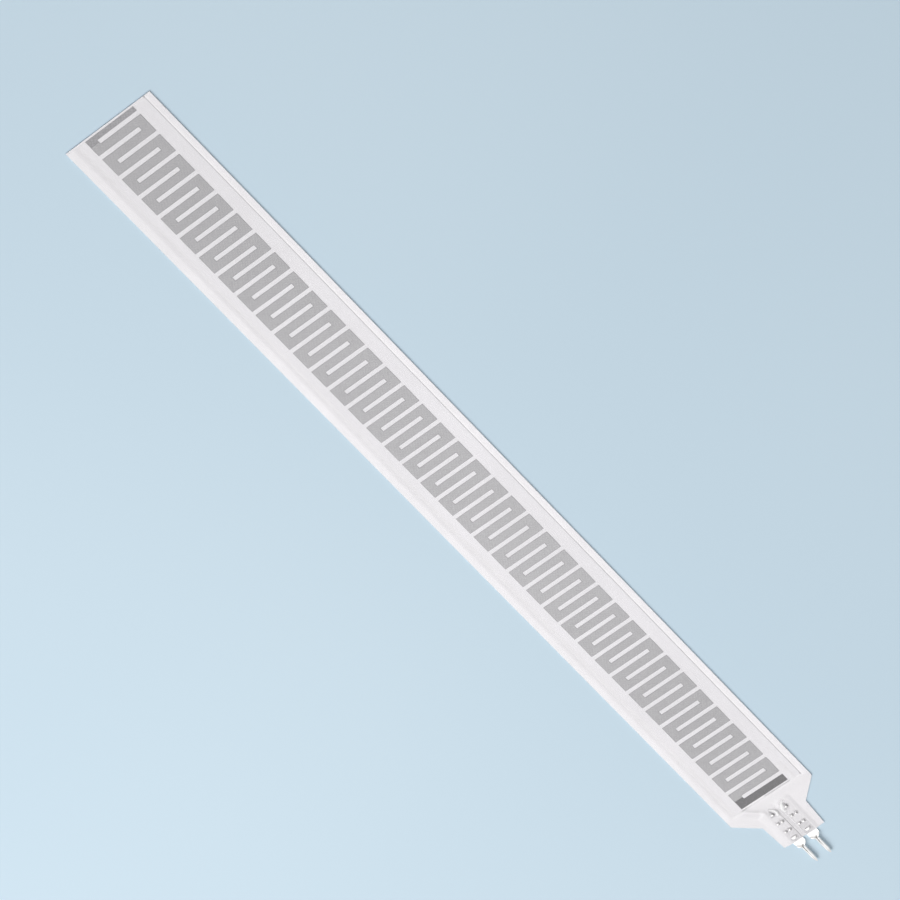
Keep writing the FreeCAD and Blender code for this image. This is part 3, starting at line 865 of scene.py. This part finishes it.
def printTrack(name, start, end, low, high, ink, inset=0.0):
    border, thick = track["border"], high - low
    half = plan["patternHalf"] - inset
    closed = track["linkWidth"] - plan["patternHalf"] - border / 2 - inset   # y of a slot's closed end
    past = half + track["pastEdge"]
    return growMesh(name, trackTree, {
        "Plate Size": (end - start - border, 2 * half - border, thick),
        "Plate Middle": ((start + end) / 2, 0.0, (low + high) / 2),
        "Slot Width": track["slotWidth"] + border + 2 * inset,
        "Slot Length": past - closed,
        "Slot Middle": (0.0, (past + closed) / 2, 0.0),
        "Last Slot": (track["lastSlot"], 0.0, 0.0),
        "Slot Step": (-track["slotStep"], 0.0, 0.0),
        "Slot Count": track["slotCount"], "Corner": track["corner"], "Border": border,
        "Border Height": thick + track["raised"], "Border Middle": (0.0, thick / 2, 0.0), "Ink": ink})


def joinInto(name, parts, material):
    joined = bmesh.new()
    for part in parts:
        joined.from_mesh(part.data)
        bpy.data.objects.remove(part)
    bmesh.ops.remove_doubles(joined, verts=joined.verts, dist=1e-7)
    bmesh.ops.recalc_face_normals(joined, faces=joined.faces)
    mesh = bpy.data.meshes.new(name)
    joined.to_mesh(mesh)
    joined.free()
    mesh.materials.clear()
    mesh.materials.append(material)
    mesh.polygons.foreach_set("material_index", [0] * len(mesh.polygons))
    shadeSmooth(mesh, sharp=38)
    return addObject(name, mesh)


lowerZ = (film + hair, film + printed)
upperZ = (coverLow - drape["sag"] - printed, coverLow - drape["sag"] - hair)
paleStart, paleEnd, overlap = track["paleStart"], track["paleEnd"], track["overlap"]
lowerTrack = joinInto("lowerForceTrack", [
    printTrack("firstFinger", plan["firstFinger"], paleStart + overlap, *lowerZ, carbonInk),
    printTrack("lastFinger", paleEnd - overlap, plan["barEnd"], *lowerZ, carbonInk),
    printTrack("hiddenFingers", paleStart, paleEnd, *lowerZ, carbonInk, track["hiddenInset"]),
], carbonInk)
upperTrack = printTrack("upperForceTrack", paleStart, paleEnd, *upperZ, paleInk)
print("tracks printed", len(upperTrack.data.polygons))


# Terminals: strip under the film, teeth through it, and a pin rolled from the strip's end
metal = {
    "thick": drape["lift"], "halfWidth": 0.88, "joinX": 75.98,
    "rollStart": 76.6, "rollLong": 0.9, "tipStart": 79.8, "tipEnd": 81.0,
    "pinRadius": 0.35, "tipRadius": 0.12,
    "tipBlunt": 1.8,                      # above 1 the point is fuller than a cone
    "tipWall": (0.60, 0.37),              # wall of the point by its radius, and how much more at its end
    "tipSeam": 0.6,                       # share of the seam that closes along the point
    "leastRadius": 0.006,                 # of the point's very end
    "seamHalf": 3.0, "seamOpen": 10.0,    # degrees: half the gap of the seam, and how much more at the roll
    "seamLong": 1.8,                      # it closes over this much
    "blankSpare": 0.03,                   # the openings in the strip are this much longer than the legs
    "rowsX": (68.8, 75.9, 0.4), "rowsY": (-0.7, 0.75, 0.35),
    "rollSteps": 18, "seamSteps": 6, "tipSteps": 8, "roundSteps": 4, "around": 20,
}


# One tooth: up through the film, over, and down on to it, narrowing to its end
def makeToothTree():
    tree, given = startTree("curledTooth", {
        "Legs": "Geometry", "Foot": "Vector", "Above Leg": "Vector", "Above End": "Vector", "End": "Vector",
        "Width": "Float", "End Width": "Float", "Curl Radius": "Float", "Thickness": "Float",
        "Edge": "Float", "Taper Start": "Float", "Metal": "Material"})
    index = addNode(tree, "GeometryNodeInputIndex", {})
    corners = tree.nodes.new("GeometryNodeIndexSwitch")
    corners.data_type = "VECTOR"
    corners.index_switch_items.new()
    corners.index_switch_items.new()
    for place, socket in enumerate((index.outputs[0], given["Foot"], given["Above Leg"],
                                    given["Above End"], given["End"])):
        tree.links.new(socket, corners.inputs[place])
    line = addNode(tree, "GeometryNodeMeshLine", {"Count": 4})
    shaped = addNode(tree, "GeometryNodeSetPosition", {"Geometry": line, "Position": corners})
    path = addNode(tree, "GeometryNodeMeshToCurve", {"Mesh": shaped})
    bent = addNode(tree, "GeometryNodeFilletCurve",
                   {"mode": "POLY", "Count": teeth["curlSteps"], "Curve": path,
                    "Radius": given["Curl Radius"]})
    share = addNode(tree, "GeometryNodeSplineParameter", {})
    kept = addNode(tree, "GeometryNodeStoreNamedAttribute",
                   {"data_type": "FLOAT", "domain": "POINT", "Geometry": bent, "Name": "alongTooth",
                    "Value": share})
    section = addNode(tree, "GeometryNodeCurvePrimitiveQuadrilateral",
                      {"Width": given["Thickness"], "Height": 1.0})
    soft = addNode(tree, "GeometryNodeFilletCurve",
                   {"mode": "POLY", "Count": teeth["edgeSteps"], "Curve": section,
                    "Radius": given["Edge"]})
    swept = addNode(tree, "GeometryNodeCurveToMesh",
                    {"Curve": kept, "Profile Curve": soft, "Fill Caps": True})
    along = addNode(tree, "GeometryNodeInputNamedAttribute", {"data_type": "FLOAT", "Name": "alongTooth"})
    taper = addNode(tree, "ShaderNodeMapRange",
                    {"interpolation_type": "SMOOTHSTEP", "Value": along, "From Min": given["Taper Start"],
                     "From Max": 1.0, "To Min": given["Width"], "To Max": given["End Width"]})
    # the section is a millimetre wide, so its Y times the width narrows it and leaves its thickness
    place = addNode(tree, "ShaderNodeSeparateXYZ",
                    {0: addNode(tree, "GeometryNodeInputPosition", {})}).outputs
    narrowY = addNode(tree, "ShaderNodeMath", {"operation": "MULTIPLY", 0: place[1], 1: taper})
    narrow = addNode(tree, "ShaderNodeCombineXYZ", {0: place[0], 1: narrowY, 2: place[2]})
    tooth = addNode(tree, "GeometryNodeSetPosition", {"Geometry": swept, "Position": narrow})
    turn = addNode(tree, "GeometryNodeInputNamedAttribute", {"data_type": "FLOAT", "Name": "turn"})
    spin = addNode(tree, "ShaderNodeCombineXYZ", {2: turn})
    spread = addNode(tree, "GeometryNodeInstanceOnPoints",
                     {"Points": given["Legs"], "Instance": tooth, "Rotation": spin})
    return endTree(tree, spread, given["Metal"])


toothTree = makeToothTree()


def makeTeeth(name, centre, kind):
    # all the teeth of one kind on one terminal
    sizes, matching = toothKinds[kind], [row for row in toothRows if row[0] == kind]
    legs = bpy.data.meshes.new(name)
    legs.from_pydata([(leg, centre + offset, 0.0) for _, leg, offset, _ in matching], [], [])
    turns = [0.0 if heading > 0 else math.pi for _, _, _, heading in matching]
    legs.attributes.new("turn", "FLOAT", "POINT").data.foreach_set("value", turns)
    crest = teeth["top"] - teeth["thick"] / 2
    reach = sizes["run"] + 2 * teeth["curl"]
    return growMesh(name, toothTree, {
        "Foot": (0.0, 0.0, teeth["foot"]), "Above Leg": (0.0, 0.0, crest), "Above End": (reach, 0.0, crest),
        "End": (reach, 0.0, crest - teeth["curl"] - teeth["endStraight"]),
        "Width": sizes["width"], "End Width": teeth["endWidth"], "Curl Radius": teeth["curl"],
        "Thickness": teeth["thick"], "Edge": teeth["edge"], "Taper Start": teeth["taperFrom"],
        "Metal": tinPlate}, legs)


def lancedHoles(centre):
    # the openings that the teeth leave in the strip
    holes = []
    stretch = teeth["thick"] / metal["thick"]
    rise = teeth["top"] - teeth["thick"] / 2 - teeth["curl"] - metal["thick"] / 2 - teeth["root"]
    for kind, leg, offset, _ in toothRows:
        width, run = toothKinds[kind]["width"], toothKinds[kind]["run"]
        legBlank = (math.pi / 2 * teeth["root"] + rise + metal["blankSpare"]) * stretch
        curlBlank = (math.pi * teeth["curl"] + run) * stretch
        corners = [(-teeth["root"], width / 2), (legBlank, width / 2),
                   (legBlank + curlBlank, teeth["endWidth"] / 2)]
        corners += [(x, -y) for x, y in reversed(corners)]
        holes.append([(leg + x, centre + offset + y) for x, y in corners])
    return holes


def rolledPoint(arc, inside, ease, radius, thick):
    # arc runs across the metal, which bends up round the pin's axis as ease goes from 0 to 1
    low = metal["pinRadius"] - radius
    if ease == 0:
        return arc, low + thick * inside
    bend = (radius - thick / 2) / ease
    reach = bend + thick * (0.5 - inside)
    return reach * math.sin(arc / bend), low + thick / 2 + bend - reach * math.cos(arc / bend)


def pinSection(x, rolled):
    # outer radius, thickness and half the developed width of the metal at x
    flatHalf, tipLong = metal["halfWidth"], metal["tipEnd"] - metal["tipRadius"] - metal["tipStart"]
    rollEnd = metal["rollStart"] + metal["rollLong"]
    radius, thick = metal["pinRadius"], metal["thick"]
    seam = metal["seamHalf"] + metal["seamOpen"] * (1 - float(smooth((x - rollEnd) / metal["seamLong"])))
    if x > metal["tipStart"]:
        down = min((x - metal["tipStart"]) / tipLong, 1.0)
        radius += (metal["tipRadius"] - metal["pinRadius"]) * down ** metal["tipBlunt"]
        past = max(x - metal["tipEnd"] + metal["tipRadius"], 0.0) / metal["tipRadius"]
        radius = max(radius * math.sqrt(max(1 - past ** 2, 0.0)), metal["leastRadius"])
        wall, more = metal["tipWall"]
        thick = min(metal["thick"], radius * (wall + more * down))
        seam *= 1 - metal["tipSeam"] * down
    closedHalf = (radius - thick / 2) * (math.pi - math.radians(seam))
    return radius, thick, flatHalf + (closedHalf - flatHalf) * rolled


def makePin(name, centre):
    steps, tipSteps = metal["rollSteps"], metal["tipSteps"]
    rounds, count = metal["roundSteps"], metal["around"]
    rollStart, rollLong, tipStart = metal["rollStart"], metal["rollLong"], metal["tipStart"]
    roundStart, seamStep = metal["tipEnd"] - metal["tipRadius"], metal["seamLong"] / metal["seamSteps"]
    stations = [(metal["joinX"], 0.0), (rollStart, 0.0)]
    stations += [(rollStart + rollLong * i / steps, i / steps) for i in range(1, steps + 1)]
    stations += [(rollStart + rollLong + seamStep * i, 1.0) for i in range(1, metal["seamSteps"] + 1)]
    stations += [(tipStart + (roundStart - tipStart) * i / tipSteps, 1.0) for i in range(tipSteps + 1)]
    stations += [(roundStart + metal["tipRadius"] * math.sin(math.pi / 2 * i / rounds), 1.0)
                 for i in range(1, rounds + 1)]
    line = [(-1 + 2 * i / count, 0) for i in range(count + 1)]
    line += [(1 - 2 * i / count, 1) for i in range(count + 1)]
    n, verts, faces = len(line), [], []
    for x, share in stations:
        ease = share * share * (3 - 2 * share)
        radius, thick, half = pinSection(x, ease)
        for across, inside in line:
            y, z = rolledPoint(across * half, inside, ease, radius, thick)
            verts.append((x * mm, (centre + y) * mm, z * mm))
    for station in range(len(stations) - 1):
        a, b = station * n, (station + 1) * n
        faces += [(a + i, b + i, b + (i + 1) % n, a + (i + 1) % n) for i in range(n)]
    for first in (0, (len(stations) - 1) * n):
        faces += [(first + i, first + i + 1, first + n - 2 - i, first + n - 1 - i) for i in range(count)]
    return addMesh(name, verts, faces)


def makeTerminal(name, centre):
    h, c, front, end = metal["halfWidth"], drape["stripCorner"], drape["stripFront"], metal["joinX"]
    outline = [(front, -h + c), (front + c, -h), (end, -h), (end, h), (front + c, h), (front, h - c)]
    outline = [(x, centre + y) for x, y in outline]
    low, high, step = metal["rowsY"]
    strip = makeSlab(name + "Strip", outline, lancedHoles(centre), np.arange(*metal["rowsX"]),
                     np.arange(centre + low, centre + high, step),
                     lambda x, y: 0 * x, lambda x, y: 0 * x + metal["thick"] - hair, step=2.0)
    parts = [strip, makePin(name + "Pin", centre)]
    parts += [makeTeeth(name + kind, centre, kind) for kind in toothKinds]
    return joinInto(name, parts, tinPlate)


leftTerminal = makeTerminal("leftTerminal", terminalCentres()[0])
rightTerminal = makeTerminal("rightTerminal", terminalCentres()[1])
print("terminals formed", len(leftTerminal.data.polygons))


# Piece, its material, the record's slot and the node that it stands for
pieces = [
    (baseFilm, milkyPet, "white_film", "base_film"),
    (spacerFrame, acrylicTape, "white_adhesive", "spacer_frame"),
    (coverFilm, clearPet, "clear_film", "cover_film"),
    (lowerLead, silverPaste, "silver_ink", "lower_silver_lead"),
    (upperLead, silverPaste, "silver_ink", "upper_silver_lead"),
    (lowerTrack, carbonInk, "dark_resistive_ink", "lower_force_track"),
    (upperTrack, paleInk, "pale_resistive_ink", "upper_force_track"),
    (leftTerminal, tinPlate, "tinned_metal", "left_terminal"),
    (rightTerminal, tinPlate, "tinned_metal", "right_terminal"),
]
for piece, material, slotName, nodeName in pieces:
    piece.data.materials.clear()
    piece.data.materials.append(material)
    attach(piece, "root")
    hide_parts(nodeName)
print("pieces settled", len(pieces))


studio = {
    "sky": 0.42,             # even light from all round
    "skyShine": (1.0, 1.3),  # what gloss sees at the horizon and overhead
    "skySeen": 0.9,
    "floorHalf": 2500, "floorDrop": 0.02,
    "floorPaint": {"clouds": (60.0, 1.0), "colours": ("#C4D8E5", "#C9DCE8"), "rough": 0.9},
    "keyPlace": (60, -420, 470), "keySize": 440, "keyWatts": 2.97,
    "fillPlace": (300, 350, 700), "fillSize": 600, "fillWatts": 0.7,
}


def makeFloor():
    # plain matt paint, pale and a little blue, with no pattern that would draw the eye
    material, tree, place = startMaterial("mattFloorPaint")
    paint = studio["floorPaint"]
    finishMaterial(tree, {"Base Color": clouded(tree, place, paint), "Roughness": paint["rough"]})
    s, z = studio["floorHalf"] * mm, -studio["floorDrop"] * mm
    floor = addMesh("floor", [(-s, -s, z), (s, -s, z), (s, s, z), (-s, s, z)], [(0, 1, 2, 3)])
    floor.data.materials.append(material)


def makeLamp(name):
    place = Vector(studio[name + "Place"])
    data = bpy.data.lights.new(name, "AREA")
    data.size, data.energy = studio[name + "Size"] * mm, studio[name + "Watts"]
    lamp = addObject(name, data)
    lamp.location = place * mm
    lamp.rotation_euler = place.to_track_quat("Z", "Y").to_euler()


def makeWorld():
    world = bpy.data.worlds.new("studio")
    bpy.context.scene.world = world
    world.use_nodes = True
    tree = world.node_tree
    tree.nodes.clear()
    direction = addNode(tree, "ShaderNodeTexCoord", {}).outputs["Generated"]
    up = addNode(tree, "ShaderNodeSeparateXYZ", {0: direction}).outputs[2]
    low, high = studio["skyShine"]
    overhead = addNode(tree, "ShaderNodeMapRange", {"Value": up, "To Min": low, "To Max": high})
    rays = addNode(tree, "ShaderNodeLightPath", {}).outputs
    shine = addNode(tree, "ShaderNodeMix", {"data_type": "FLOAT", "Factor": rays["Is Glossy Ray"],
                                            "A": studio["sky"], "B": overhead})
    seen = addNode(tree, "ShaderNodeMix", {"data_type": "FLOAT", "Factor": rays["Is Camera Ray"],
                                           "A": shine, "B": studio["skySeen"]})
    sky = addNode(tree, "ShaderNodeBackground", {"Color": (1.0, 1.0, 1.0, 1.0), "Strength": seen})
    addNode(tree, "ShaderNodeOutputWorld", {"Surface": sky})


makeFloor()
makeWorld()
makeLamp("key")
makeLamp("fill")
print("floor and light set")
